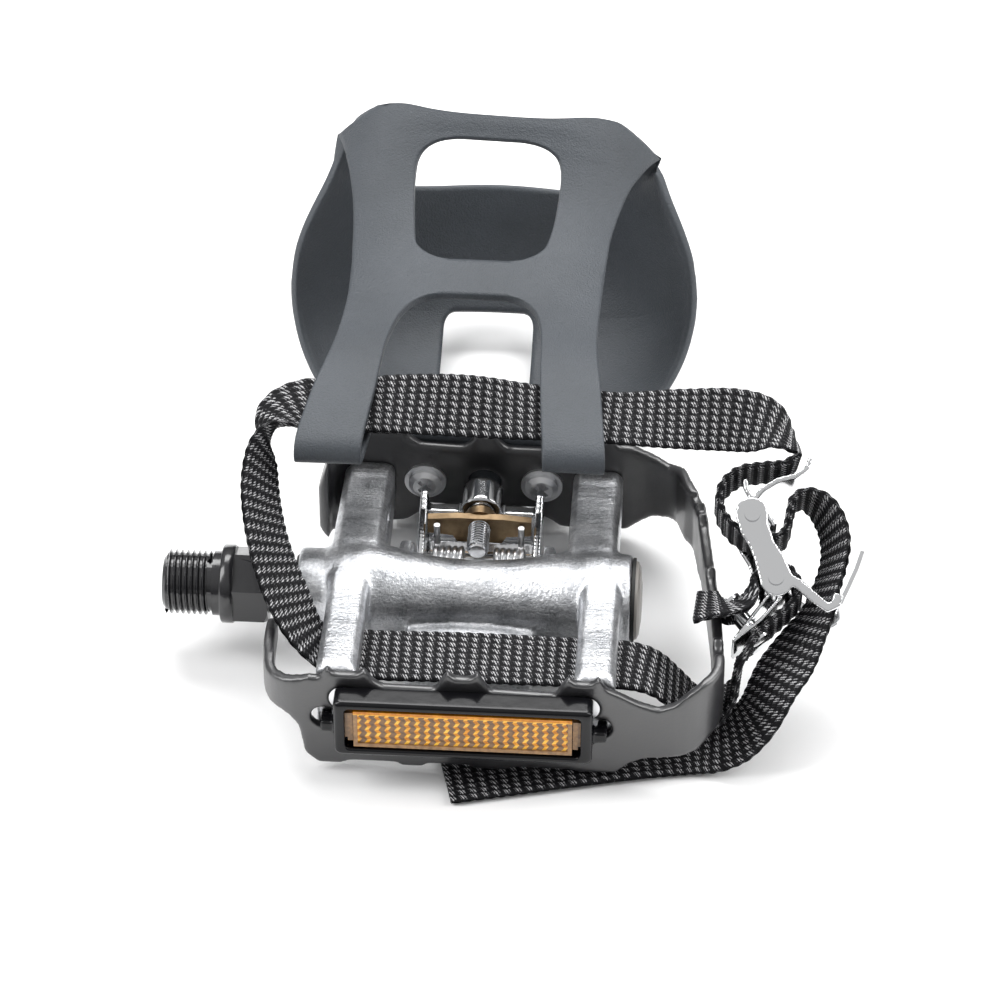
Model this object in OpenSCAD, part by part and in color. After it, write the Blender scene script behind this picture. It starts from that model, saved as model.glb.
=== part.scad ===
// Bicycle pedal, right-hand side: cage with toe clip and strap on top,
// sprung cleat binding underneath. Millimetres.
// Frame: the origin is the centre of the face that seats on the crank.
// +X runs out along the axle to the dust cap, +Y is forward to the toe, +Z is up.

/* [Axle] */
// major diameter of the thread that goes into the crank
thread_d = 14.29; // [12:0.01:16]
// length of the threaded end
thread_len = 12.9; // [10:0.1:15]
// size of the wrench hex across its flats
hex_af = 15; // [13:0.5:17]
// diameter of the axle where it enters the body
shaft_d = 11.6; // [10:0.1:13]
// diameter of the bearing balls
ball_d = 3.12; // [2.4:0.02:4]
// number of balls in each bearing
ball_n = 10; // [8:1:12]

/* [Body] */
// X of the crank-side end of the barrel
body_x0 = 17; // [15:0.5:20]
// X of the cap-side end of the barrel
body_x1 = 90.3; // [80:0.5:95]
// radius of the barrel at its waist
waist_r = 7.5; // [7:0.1:9]
// width of each front arm
front_arm_w = 11.2; // [8:0.1:14]
// width of each rear arm
rear_arm_w = 8.8; // [6:0.1:12]

/* [Cage] */
// half of the cage's length, front to back, at the outer faces
cage_y = 40.5; // [36:0.5:44]
// thickness of the cage's strip
cage_t = 2.4; // [1.5:0.1:3]
// height of the valleys between the teeth, above the axle's centre line
cage_top = 9; // [7:0.5:12]
// depth of the cage's lowest edge below the axle's centre line
cage_low = 14; // [12:0.5:16]
// how far the teeth stand above the valleys
tooth_h = 4.8; // [2:0.1:6]

/* [Reflector] */
// length of the reflector's housing
refl_l = 55.2; // [45:0.2:60]
// height of the reflector's housing
refl_h = 15.2; // [10:0.2:18]
// how far the housing stands out from the cage
refl_out = 5.6; // [4:0.1:8]

/* [Toe clip] */
// wall thickness of the moulded clip
clip_t = 2; // [1.6:0.1:3]
// height of the crown of the toe clip above the axle's centre line
clip_top = 52; // [45:0.5:60]

/* [Strap] */
// width of the webbing
strap_w = 14.5; // [10:0.5:18]
// thickness of the webbing
strap_t = 1.8; // [1.2:0.1:2.5]

/* [Binding] */
// Y of the pin that the rear jaw turns on
pin_y = 17; // [14:0.5:20]
// Z of the pin that the rear jaw turns on
pin_z = -6; // [-8:0.5:-4]
// diameter of that pin
pin_d = 3; // [2.5:0.1:4]
// major diameter of the tension screw
screw_d = 5; // [4:0.5:6]
// X of the binding's middle
bind_x = 55.4; // [50:0.2:60]

/* [Hidden] */
$fn = 48;
gap = 0.3;
seat = 0.05;
steel = [0.62, 0.62, 0.63];
chrome = [0.82, 0.83, 0.84];
alloy = [0.74, 0.75, 0.77];
black = [0.06, 0.06, 0.065];
grey = [0.29, 0.31, 0.34];
ball_pr = 5.42;
in_x = 22.6;
out_x = 77.4;
cup_r = 7.4;
ct = ball_d / 2 * cos(45);
cone_r = ball_pr - ct;
race_r = ball_pr + ct;
arm_l = 24;
arm_r = body_x1 - 14.7;
rarm_l = 24.2;
rarm_r = body_x1 - 11;
in_y = cage_y - cage_t;
screw_z = 1;

// revolve a profile of [x, r] points about the axle's line
module lathe(pts) rotate([90, 0, 90]) rotate_extrude($fn = 64) polygon([for (p = pts) [p[1], p[0]]]);
// a cylinder along X, from x0 to x1
module xcyl(x0, x1, r, y = 0, z = 0, f = 48)
  translate([x0, y, z]) rotate([0, 90, 0]) cylinder(h = x1 - x0, r = r, $fn = f);
// a cylinder along Y, from y0 to y1
module ycyl(y0, y1, r, x = 0, z = 0, f = 48)
  translate([x, y1, z]) rotate([90, 0, 0]) cylinder(h = y1 - y0, r = r, $fn = f);
// a slab with its outline in Y and Z, between two X values
module xslab(x0, x1) translate([x0, 0, 0]) rotate([90, 0, 90]) linear_extrude(x1 - x0) children();
// a slab with its outline in X and Z, between two Y values
module yslab(y0, y1) translate([0, y1, 0]) rotate([90, 0, 0]) linear_extrude(y1 - y0) children();

// small vector helpers
function unit(v) = v / max(norm(v), 0.0001);
function lerp(a, b, t) = a + (b - a) * t;
// points of an arc
function arc(cx, cy, r, a0, a1, n = 6) =
  [for (i = [0:n]) let (a = a0 + (a1 - a0) * i / n) [cx + r * cos(a), cy + r * sin(a)]];
// outline of a strip of thickness t about an open path
function nrm(p, i) = let (a = p[max(i - 1, 0)], b = p[min(i + 1, len(p) - 1)], d = unit(b - a)) [-d[1], d[0]];
function strip(p, t) = concat(
  [for (i = [0:len(p) - 1]) p[i] + nrm(p, i) * t / 2],
  [for (i = [len(p) - 1:-1:0]) p[i] - nrm(p, i) * t / 2]);

// flat band swept along stations [point, width direction], w wide and t thick
module band(st, w, t) {
  m = len(st);
  dir = [for (i = [0:m - 1]) unit(st[min(i + 1, m - 1)][0] - st[max(i - 1, 0)][0])];
  wid = [for (i = [0:m - 1]) let (d = unit(st[i][1])) unit(d - dir[i] * (d * dir[i]))];
  thk = [for (i = [0:m - 1]) cross(dir[i], wid[i])];
  pts = [for (i = [0:m - 1]) for (c = [[1, 1], [-1, 1], [-1, -1], [1, -1]])
    st[i][0] + wid[i] * w / 2 * c[0] + thk[i] * t / 2 * c[1]];
  polyhedron(points = pts, faces = concat([[0, 1, 2, 3]], [[4 * m - 1, 4 * m - 2, 4 * m - 3, 4 * m - 4]],
    [for (i = [0:m - 2]) for (c = [0:3]) let (a = 4 * i + c, b = 4 * i + (c + 1) % 4) each [
      [a, a + 4, b + 4], [a, b + 4, b]]]), convexity = 10);
}
// a smooth curve through stations, q pieces in each span
function cr(a, b, c, d, t) = 0.5 * ((2 * b) + (c - a) * t + (2 * a - 5 * b + 4 * c - d) * t * t
  + (3 * b - a - 3 * c + d) * t * t * t);
function flow(s, q) = [for (i = [0:len(s) - 2]) for (j = [0:(i == len(s) - 2 ? q : q - 1)])
  let (a = s[max(i - 1, 0)], b = s[i], c = s[i + 1], d = s[min(i + 2, len(s) - 1)])
  [for (k = [0:1]) cr(a[k], b[k], c[k], d[k], j / q)]];

// spindle: thread, neck, flange, hex, journal and ground inner cone
module axle() color(black) {
  difference() {
    union() {
      lathe([[-thread_len, 0], [-thread_len, thread_d / 2 - 1.2], [-thread_len + 1.2, thread_d / 2],
        [0, thread_d / 2], [0, 8.4], [0.3, 8.7], [2.6, 8.7], [2.9, 8.4], [2.9, 0]]);
      intersection() {
        translate([2.8, 0, 0]) rotate([0, 90, 0]) cylinder(h = 7.7, r = hex_af / 2 / cos(30), $fn = 6);
        lathe([[2.8, 0], [2.8, 8.7], [9.6, 8.7], [10.5, 7.6], [10.5, 0]]);
      }
      lathe([[10.4, 0], [10.4, shaft_d / 2 + 0.6], [11, shaft_d / 2], [in_x - ct - (shaft_d / 2 - cone_r), shaft_d / 2],
        [in_x - ct + 0.35, cone_r - 0.35], [22.4, 3.8], [70, 3.8], [72.4, 3.5], [87.6, 3.5], [88, 3.1], [88, 0]]);
    }
    // broached hex for a key in the threaded end
    translate([-thread_len - 1, 0, 0]) rotate([0, 90, 0]) cylinder(h = 6, r = 6 / 2 / cos(30), $fn = 6);
  }
}
module inner_seal() color([0.08, 0.08, 0.08])
  lathe([[17.1, shaft_d / 2 + 0.05], [16.4, shaft_d / 2 + 0.05], [16.4, shaft_d / 2 + 1.1], [17.1, 7.38],
    [19.4, 7.38], [19.4, shaft_d / 2 + 0.05]]);
module inner_cup() color(steel)
  lathe([[19.6, cup_r], [19.6, 7], [in_x + ct - (7 - race_r), 7], [in_x + ct + race_r - 5.1, 5.1],
    [25.9, 5.1], [25.9, cup_r]]);
module balls(x) for (i = [0:ball_n - 1])
  rotate([i * 360 / ball_n + 9, 0, 0]) translate([x, ball_pr, 0]) sphere(r = ball_d / 2 - 0.03, $fn = 24);
module inner_balls() color(chrome) balls(in_x);
module outer_balls() color(chrome) balls(out_x);
module outer_cup() color(steel)
  lathe([[74.1, cup_r], [74.1, 5.1], [out_x - ct - race_r + 5.1, 5.1], [out_x - ct + (7 - race_r), 7],
    [80.2, 7], [80.2, cup_r]]);
module outer_cone() color(steel)
  lathe([[out_x + ct - (cone_r - 3.9), 3.52], [out_x + ct - (cone_r - 3.9), 3.9],
    [out_x + ct + (5.6 - cone_r), 5.6], [82, 5.6], [82, 3.52]]);
module axle_washer() color(steel) lathe([[82.02, 3.55], [82.02, 5.6], [83.2, 5.6], [83.2, 3.55]]);
module lock_nut() color(steel) difference() {
  intersection() {
    translate([83.22, 0, 0]) rotate([0, 90, 0]) cylinder(h = 3.9, r = 11 / 2 / cos(30), $fn = 6);
    lathe([[83.2, 0], [83.2, 6.4], [86.4, 6.4], [87.15, 5.4], [87.15, 0]]);
  }
  xcyl(83, 88, 3.52);
}
module cap_ring() color(black) translate([body_x1, 0, 0]) lathe([[0.02, 8.02], [0.02, 9.4], [0.7, 9.4], [0.7, 8.02]]);
module dust_cap() color([0.6, 0.58, 0.56]) translate([body_x1, 0, 0])
  lathe([[-4.1, 7.98], [-4.1, 7.1], [-0.7, 7.1], [-0.1, 0], [2.3, 0], [2.2, 4], [1.8, 7.4], [1.3, 8.5], [0.74, 8.7],
    [0.74, 7.98]]);

// outline of a front arm seen from the side, and of a rear arm
front_side = [[0, 9.2], [6, 9.9], [12, 9.4], [22, 7], [32, 4.9], [in_y - seat, 4.4], [in_y - seat, -6],
  [34, -7.4], [24, -7.8], [12, -8.6], [0, -9]];
rear_side = [[2, 9], [-4, 9.6], [-10, 9.2], [-20, 10], [-30, 11.4], [-36.4, 12.2], [-in_y + seat, 11.6],
  [-in_y + seat, -5], [-35.2, -5], [-34.9, 5.4], [-32.6, 6.9], [-14.6, 5.4], [-12, 3.4], [-10.5, -3], [0, -3]];
// slab with bevelled long edges: the outline cut by a prism that has the bevel
module arm(x0, x1, pts, bev, ztop) {
  xslab(x0 + bev, x1 - bev) polygon(pts);
  xslab(x0 + bev / 2, x1 - bev / 2) polygon([for (p = pts) [p[0], p[1] > 0 ? p[1] - bev / 2 : p[1]]]);
  xslab(x0, x1) polygon([for (p = pts) [p[0], p[1] > 0 ? p[1] - bev : p[1]]]);
}
module body() color(alloy) difference() {
  union() {
    lathe([[body_x0, 6], [body_x0, 8.3], [17.4, 8.7], [22.4, 8.7], [24, 9.4], [27, 10.2], [31, 10.6], [36, 10],
      [41, 8.9], [47, 7.9], [53, waist_r], [58, waist_r], [64, 8], [70, 9], [75, 10], [80, 10.7], [84.4, 10.8],
      [86.4, 10.1], [89.8, 10.1], [body_x1, 9.7], [body_x1, 6]]);
    arm(arm_l, arm_l + front_arm_w, front_side, 1.4);
    arm(arm_r, arm_r + front_arm_w, front_side, 1.4);
    arm(rarm_l, rarm_l + rear_arm_w, rear_side, 1.2);
    arm(rarm_r, rarm_r + rear_arm_w, rear_side, 1.2);
    // saddle under the barrel that carries the cleat binding
    xslab(bind_x - 14, bind_x + 14)
      polygon([[-21.5, -9.4], [-21.5, -6], [-19, -3.6], [-8, -2], [6, -2], [9.5, -5], [9.5, -9.4]]);
    // lugs for the jaw's pin
    for (s = [-1, 1]) translate([s > 0 ? 0 : -2 * 0, 0, 0]) {
      xslab(bind_x + s * 15.8 - 1.5, bind_x + s * 15.8 + 1.5)
        polygon([[0, 4], [8, 4.6], [14, 2.4], [17, -1.4], [20.4, -3.8], [20.8, -7.6], [18, -10.3], [12, -10], [0, -9]]);
      xslab(bind_x + s * 14 - 0.4, bind_x + s * 14 + 0.4) polygon([[-4, 2], [6, 2], [9.5, -5], [9.5, -9.4], [-4, -9.4]]);
    }
    // webs that stiffen the front arms
    for (x = [arm_l + front_arm_w - 3, arm_r + 0.6]) xslab(x, x + 2.4)
      polygon([[4, -8.9], [4, 3], [20, -1], [20, -8.2]]);
  }
  // bore through the barrel, with its seats for the cups, seal and cap
  lathe([[16, 0], [16, cup_r + 0.01], [25.9, cup_r + 0.01], [25.9, 5.4], [74.1, 5.4], [74.1, cup_r + 0.01], [82.2, cup_r + 0.01], [82.2, 8],
    [91, 8], [91, 0]]);
  // oval pockets on the inner sides of the front arms
  for (x = [arm_l + front_arm_w - 1.5, arm_r - 0.5]) {
    hull_pocket(x);
  }
  // holes for the jaw's pin
  xcyl(bind_x - 18, bind_x + 18, pin_d / 2, pin_y, pin_z);
  // tapped holes for the cage's screws
  for (x = [29.6, arm_r + 5.6]) ycyl(28, 39, 2, x, -1.6);
  for (x = [30.6, 81.6]) ycyl(-39, -34.4, 2, x, 8.4 - 3);
  // corner of the front arm that clears the cage's bend
  translate([0, 0, -9]) linear_extrude(16) polygon([[23.5, 36.2], [26.4, 38.3], [23.5, 38.3]]);
  // tapped holes for the claw's screws
  for (s = [-1, 1]) translate([bind_x + s * 7, -14.5, -10]) cylinder(h = 5.4, r = 2);
}
module hull_pocket(x) {
  xslab(x, x + 2) polygon(concat(arc(13, 3.6, 2.2, 90, 270, 8), arc(23, 1.6, 2.2, -90, 90, 8)));
}

// path of the cage's strip seen from above
cage_mid = cage_y - cage_t / 2;
cage_path = concat(
  [[19.4, 29.4], [20, 32.4]], arc(27, 33.4, cage_mid - 33.4, 172, 90, 6),
  arc(90.5, cage_mid - 11, 11, 90, 30, 6), [[102, 28], [104.3, 23], [105.4, 16], [107.4, 0], [109.2, -16], [109.8, -26]],
  arc(101, -cage_mid + 9, 9, 4, -90, 7),
  arc(21.5, -cage_mid + 8, 8, -90, -178, 7), [[13, -26], [12.9, -16.6]]);
// one tooth: two small points side by side, centred on x
function tooth(x, w, h = tooth_h) = [[x - w - 1.8, cage_top + h - 3.2], [x - w, cage_top + h], [x - w + 1.6, cage_top + h - 1.8],
  [x + w - 1.6, cage_top + h - 1.8], [x + w, cage_top + h], [x + w + 1.8, cage_top + h - 3.2]];
rear_profile = concat([[10, 8], [15, 8.6], [20, 10], [23, 11]], tooth(30.8, 4), [[38.6, cage_top]], [[50, cage_top - 0.2]],
  tooth(55.7, 3.2), [[61.6, cage_top - 0.2], [75.6, cage_top - 0.6]], tooth(81.4, 3.2),
  [[89, 9.4], [93, 7], [97.4, 5.4], [101, 7], [104, 10], [107, 11.8], [112, 12]],
  [[112, -3.4], [108.6, -4.6], [106, -7], [102, -8.2], [95, -8.8], [91.5, -10.6], [88.6, -cage_low + 0.3],
  [81, -cage_low], [79.8, -13.4], [67, -13.2], [65, -cage_low], [58, -cage_low], [56.5, -13.2], [48.5, -13.2], [47, -cage_low],
  [42.5, -cage_low], [41, -13.2], [31.4, -13.2], [29.8, -cage_low], [24.4, -cage_low], [21.6, -11.4], [20.3, -3.4],
  [18, -0.6], [10, 0.4]]);
front_profile = concat([[15, 0], [18.4, 3], [20.4, 9.6], [23, 12.6]], tooth(31.8, 5, 5.4), [[41, cage_top + 0.4]],
  [[50.6, cage_top]], tooth(55.7, 1.8, 4.6), [[61, cage_top]], [[71.4, cage_top]], tooth(79.4, 4.4, 5),
  [[89, 10.6], [93, 8.8], [97, 7.4], [101, 9.4], [106, 9.8]],
  [[106, -5], [99, -6.6], [93, -9.4], [88, -cage_low + 0.4], [85, -cage_low], [76, -cage_low], [72.6, -13.6], [69.6, -11.2],
  [66, -10], [44, -9.8], [40.6, -11], [37.6, -13.4], [34, -cage_low], [24, -cage_low], [20, -11.8], [17, -7], [15, -4]]);
side_profile = [[26, 8.6], [22.4, 8.8], [21, 11.2], [19.2, 9.2], [17.6, 11], [15.8, 8.8], [2.4, 8.6], [0.6, 10.6],
  [-1.2, 8.6], [-20, 8.8], [-22.4, 11], [-24.4, 9], [-28, 9.6], [-28, -4.2], [-23, -3.6], [-20, -1.6], [8, -1.8], [14, -4.6],
  [26, -5.6]];
module cage() color(black) difference() {
  intersection() {
    translate([0, 0, -20]) linear_extrude(40) polygon(strip(cage_path, cage_t));
    union() {
      yslab(25.9, 45) polygon(front_profile);
      yslab(-45, -27.9) polygon(rear_profile);
      xslab(98, 112) polygon(side_profile);
      // short wall at the crank side
      xslab(8, 16) polygon([[-28.5, 8.2], [-22, 8], [-17.6, 6.8], [-16, 4.4], [-16, 2.6], [-18, 0.8], [-28.5, 0.4]]);
    }
  }
  // keyhole for the key of the tension screw
  ycyl(in_y - 1, cage_y + 1, 3.7, bind_x, -1.2);
  yslab(in_y - 1, cage_y + 1) polygon([[bind_x - 2, -1], [bind_x + 2, -1], [bind_x + 2, -6.2], [bind_x - 2, -6.2]]);
  // holes of the clip's screws and of the cage's own screws
  for (x = [42, 68.4]) ycyl(in_y - 1, cage_y + 1, 2.6, x, -0.6);
  for (x = [29.6, arm_r + 5.6]) cage_hole(x, 1, -1.6);
  for (x = [30.6, 81.6]) cage_hole(x, -1, 5.4);
  // round holes that the reflector's hooks catch in
  for (x = [refl_x - refl_l / 2 - 2.5, refl_x + refl_l / 2 + 1.1]) ycyl(-cage_y - 1, -in_y + 1, 2.8, x, -0.4);
}
// hole and countersink for a cage screw; s is 1 at the front and -1 at the rear
module cage_hole(x, s, z) translate([x, s * cage_y, z]) rotate([-s * 90, 0, 0]) {
  translate([0, 0, -6]) cylinder(h = 7, r = 2.1);
  translate([0, 0, -1.5]) cylinder(h = 2, r1 = 2.1, r2 = 4.1);
}
module cage_screw(x, s, z) translate([x, s * cage_y, z]) rotate([-s * 90, 0, 0]) difference() {
  union() {
    translate([0, 0, -5.6]) cylinder(h = 4.6, r = 1.98);
    translate([0, 0, -1.5]) cylinder(h = 1.4, r1 = 2, r2 = 3.4);
  }
  for (a = [0, 90]) rotate([0, 0, a]) translate([-2, -0.35, -1.1]) cube([4, 0.7, 2]);
}
module cage_screws() color(steel) {
  for (x = [29.6, arm_r + 5.6]) cage_screw(x, 1, -1.6);
  for (x = [30.6, 81.6]) cage_screw(x, -1, 5.4);
}

refl_x = 56.1;
refl_z = 1.6;
function rrect(cx, cz, w, h, r) = concat(arc(cx + w / 2 - r, cz + h / 2 - r, r, 0, 90, 4), arc(cx - w / 2 + r, cz + h / 2 - r, r, 90, 180, 4),
  arc(cx - w / 2 + r, cz - h / 2 + r, r, 180, 270, 4), arc(cx + w / 2 - r, cz - h / 2 + r, r, 270, 360, 4));
module reflector_housing() color(black) {
  y1 = -cage_y - 0.1;
  y0 = y1 - refl_out;
  difference() {
    union() {
      yslab(y0 + 0.6, y1) polygon(rrect(refl_x, refl_z, refl_l, refl_h, 1.2));
      yslab(y0, y0 + 0.6) polygon(rrect(refl_x, refl_z, refl_l - 1, refl_h - 1, 1));
    }
    yslab(y0 - 1, y0 + 3.4) polygon(rrect(refl_x, refl_z + 0.1, refl_l - 5, refl_h - 3.6, 0.8));
    // clearance for the heads of the cage's screws
    yslab(y1 - 1, y1 + 1) polygon(rrect(refl_x, 5.4, refl_l - 3, 4, 0.5));
  }
  // snap hooks that reach into the cage's round holes
  for (s = [-1, 1]) translate([refl_x + s * (refl_l / 2 + 1.9), 0, -0.4]) {
    translate([-1.1, -cage_y - 3, -1.4]) cube([2.2, 4.8, 2.8]);
    translate([s > 0 ? -2.4 : -1.1, -cage_y - 3, -1.4]) cube([3.5, 2.6, 2.8]);
  }
}
module reflector_lens() color([0.95, 0.55, 0.05]) {
  y0 = -cage_y - 0.1 - refl_out;
  yslab(y0 + 0.9, y0 + 3.1) polygon(rrect(refl_x, refl_z + 0.1, refl_l - 5.6, refl_h - 4.2, 0.6));
  yslab(y0 + 0.4, y0 + 1) polygon(rrect(refl_x, refl_z + 0.1, refl_l - 8.6, refl_h - 4.6, 0.5));
}

// toe clip, one moulded sheet laid out in rows from the flange, forward through the cup,
// over the toe and back to the two strap loops. A row is
// [middle y, middle z, edge y, edge z, left x, window's left x, window's right x, right x]
clip_rows = [
  [41.65, 11.8, 41.65, 9.4, 37, 41.4, 65, 73], [41.65, 9, 41.65, 6, 34.4, 41.4, 64, 75.6], [41.65, 3.4, 41.65, 2.4, 33.6, 41.4, 63, 76.4],
  [41.65, -3.8, 41.65, -3.8, 33.4, 41.4, 62.8, 76.4], [41.65, -9, 41.65, -9, 33.6, 41.4, 62.8, 76], [42.6, -11.6, 42.6, -11.6, 33.6, 41.4, 62.8, 75.6],
  [46, -12.6, 46, -12.6, 33.2, 41.4, 62.8, 75.6], [52, -12.8, 52, -12.6, 32.6, 41.4, 62.8, 76], [60, -12.8, 59, -12.5, 30, 41.4, 62.8, 78.6],
  [67, -12.8, 65, -12, 26, 41.4, 62.8, 82.4], [74, -12.8, 71, -10.4, 20.6, 41.4, 62.8, 87.8],
  [82, -12.8, 76.6, -7.2, 15, 41.4, 62.8, 93.4], [88.6, -12.8, 81.4, -3, 11.2, 41.4, 62.8, 97.2], [98, -11.6, 86, 2.4, 8.6, 41.4, 62.8, 99.8],
  [105.6, -8.8, 90, 10, 7.3, 41.4, 62.8, 101], [112, -4.4, 93.6, 19, 7.8, 41.4, 63, 100.4], [117.6, 1.4, 97.4, 27, 10.8, 41.6, 64, 97.4],
  [122, 8, 101.6, 33, 14.4, 41.8, 65, 94], [125.6, 16.6, 106, 37, 16.6, 42, 66, 91.8],
  [108.4, 52.1, 110.6, 39.3, 17.2, 36, 69.8, 91.4], [104.4, 50.8, 107, 39.6, 18.6, 36, 69.8, 89.2], [100.4, 48.5, 103, 39.2, 19.8, 36, 69.8, 87.2],
  [97, 45.9, 98, 38.2, 21, 36, 69.6, 84.8], [90, 42, 90.6, 36, 22.2, 36, 69.2, 82.6], [83, 39.5, 83, 34.6, 22.8, 36.6, 68.4, 81.2],
  [77, 37.8, 77, 34, 23, 37.2, 67.2, 80.8], [72.4, 36.8, 72.4, 33.8, 23.2, 37.6, 66.6, 80.6], [66, 36, 66, 33.8, 23.3, 37, 66.4, 80.4],
  [60, 35.5, 60, 34.1, 23.3, 36.4, 66.6, 80.2], [55, 35.5, 55, 34.5, 23.1, 35.6, 66.9, 80.1], [48, 35.9, 48, 35, 22.6, 34.4, 67.4, 80],
  [41, 36.5, 41, 35.8, 21.8, 33.3, 67.8, 80.2], [34, 36.4, 34, 36, 20.4, 32.8, 68, 81], [27, 35.5, 27, 35.2, 18.6, 32.2, 68.4, 81.8],
  [19, 34.1, 19, 33.9, 17, 31.2, 69, 82.6], [13, 32.8, 13, 32.6, 15.9, 30.5, 69.6, 83.2], [10.8, 31.2, 10.8, 31, 15.6, 30.2, 69.8, 83.4],
  [10.4, 29, 10.4, 28.8, 15.6, 30.2, 69.8, 83.4], [12.2, 27.2, 12.2, 27, 15.8, 30.3, 69.7, 83.3], [15.4, 26.8, 15.4, 26.6, 16.2, 30.6, 69.5, 83.1],
  [22, 27.7, 22, 27.5, 17.6, 31.6, 68.8, 82.4], [30, 28.8, 30, 28.6, 19.2, 32.6, 68.2, 81.6], [36.4, 29.8, 36.4, 29.6, 20.6, 33.2, 67.8, 81]];
n_side = 7;
n_mid = 8;
n_all = n_mid + 2 * n_side;
// last row of the cup and first row of the upper band
r_cup = 18;
r_top = 19;
// openings: first row, last row, rows that the front and rear corners take, share of the width left at the corner
floor_win = [6, 14.3, 0.7, 0.55, 0.78];
toe_win = [20.9, 26.25, 1.5, 1.35, 0.46];
leg_win = [28.05, 99, 2, 1, 0.5];
// rows that the sheet is built on, closer together where an opening's corner turns
turn = [for (q = [0:15:90]) 1 - cos(q)];
marks = concat([for (t = [0:0.5:5.5]) t], [for (q = turn) 6 + 0.7 * q], [for (t = [7:0.5:13.5]) t],
  [for (i = [6:-1:0]) 14.3 - 0.55 * turn[i]], [for (t = [15:0.5:18]) t], [19, 19.2, 19.5, 20, 20.5],
  [for (q = turn) 20.9 + 1.5 * q], [22.8, 23.4, 24, 24.5], [for (i = [6:-1:0]) 26.25 - 1.35 * turn[i]], [26.8, 27.4],
  [for (q = turn) 28.05 + 2 * q], [for (t = [30.5:0.5:42]) t]);
// one row of the table at a place between its rows
function row_at(t) = let (i = floor(t), f = t - i) f < 0.001 ? clip_rows[i]
  : let (lo = i < r_cup ? 0 : r_top, hi = i < r_cup ? r_cup : len(clip_rows) - 1,
      a = clip_rows[max(i - 1, lo)], b = clip_rows[i], c = clip_rows[i + 1], d = clip_rows[min(i + 2, hi)])
    [for (k = [0:7]) cr(a[k], b[k], c[k], d[k], f)];
function share(t) = let (w = t < 18.5 ? floor_win : t < 27.2 ? toe_win : leg_win,
    q = min(1, t < w[0] + w[2] ? (w[0] + w[2] - t) / w[2] : t > w[1] - w[3] ? (t - w[1] + w[3]) / w[3] : 0))
  w[4] + (1 - w[4]) * sqrt(max(0, 1 - q * q));
function col_x(r, t, j) = let (c = (r[5] + r[6]) / 2, h = (r[6] - r[5]) / 2 * share(t))
  j <= n_side ? lerp(r[4], c - h, j / n_side)
  : j <= n_side + n_mid ? lerp(c - h, c + h, (j - n_side) / n_mid) : lerp(c + h, r[7], (j - n_side - n_mid) / n_side);
function clip_pt(i, j) = let (t = marks[i], r = row_at(t), x = col_x(r, t, j), a = abs(2 * (x - r[4]) / (r[7] - r[4]) - 1),
    m = min(1, max(0, (t - r_top) / 4)),
    b = t <= r_cup ? 0.15 * a * a + 0.85 * pow(a, 4) : lerp(pow(a, 5), 0.4 * a * a + 0.6 * pow(a, 3), m),
    c = t <= r_cup ? 0.75 * a * a + 0.25 * pow(a, 4) : a * a,
    // the front edge of the band dips between its two horns, and the band leans to the cap side
    dip = t < r_top ? 0 : 2.9 * max(0, 1 - (t - r_top) / 1.6) * (1 - pow(min(1, abs(x - 54.2) / 22), 4)),
    lean = t < r_top ? 0 : 0.05 * (x - 54.2) * max(0, 1 - (t - r_top) / 5))
  [x, lerp(r[0], r[2], c) - dip, lerp(r[1], r[3], b) - lean];
// which cells of the sheet there are: all but the openings and the gap over the toe
function inside(t, w) = t > w[0] && t < w[1];
function kept(i, j) = i < 0 || j < 0 || i >= len(marks) - 1 || j >= n_all ? false
  : let (t = (marks[i] + marks[i + 1]) / 2, mid = j >= n_side && j < n_side + n_mid)
    t > r_cup && t < r_top ? j < 2 || j > n_all - 3
    : !(mid && (inside(t, floor_win) || inside(t, toe_win) || inside(t, leg_win)));
module sheet(th) {
  m = len(marks); n = n_all + 1; k = m * n;
  g = [for (i = [0:m - 1]) [for (j = [0:n - 1]) clip_pt(i, j)]];
  nor = [for (i = [0:m - 1]) [for (j = [0:n - 1])
    let (edge = j < 3 || j > n - 4, lo = marks[i] == r_top && !edge ? i : max(i - 1, 0), hi = marks[i] == r_cup && !edge ? i : min(i + 1, m - 1))
    unit(cross(g[i][min(j + 1, n - 1)] - g[i][max(j - 1, 0)], g[hi][j] - g[lo][j]))]];
  pts = concat([for (i = [0:m - 1]) for (j = [0:n - 1]) g[i][j] + nor[i][j] * th / 2],
    [for (i = [0:m - 1]) for (j = [0:n - 1]) g[i][j] - nor[i][j] * th / 2]);
  function wall(a, b) = [[a, b, k + b], [a, k + b, k + a]];
  polyhedron(points = pts, faces = [for (i = [0:m - 2]) for (j = [0:n - 2]) if (kept(i, j))
    let (a = i * n + j, b = a + n, c = b + 1, d = a + 1) each concat(
      [[a, b, c], [a, c, d], [k + a, k + c, k + b], [k + a, k + d, k + c]],
      kept(i - 1, j) ? [] : wall(a, d), kept(i + 1, j) ? [] : wall(c, b),
      kept(i, j - 1) ? [] : wall(b, a), kept(i, j + 1) ? [] : wall(d, c))], convexity = 12);
}
module toe_clip() color(grey) difference() {
  sheet(clip_t);
  // holes for the clip's screws
  for (x = [42, 68.4]) ycyl(cage_y - 1, cage_y + 4, 2.6, x, -0.6);
}
module clip_screws() color(chrome) for (x = [42, 68.4]) translate([x, in_y, -0.6]) rotate([90, 0, 0]) difference() {
  union() {
    translate([0, 0, -9.4]) cylinder(h = 9.5, r = 2.5);
    cylinder(h = 0.8, r = 4.7);
    translate([0, 0, 0.8]) cylinder(h = 1, r = 3.7);
    translate([0, 0, 1.8]) cylinder(h = 0.8, r1 = 3.7, r2 = 2.6);
  }
  for (a = [45, 135]) rotate([0, 0, a]) translate([-1.9, -0.45, 1]) cube([3.8, 0.9, 3]);
}
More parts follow.
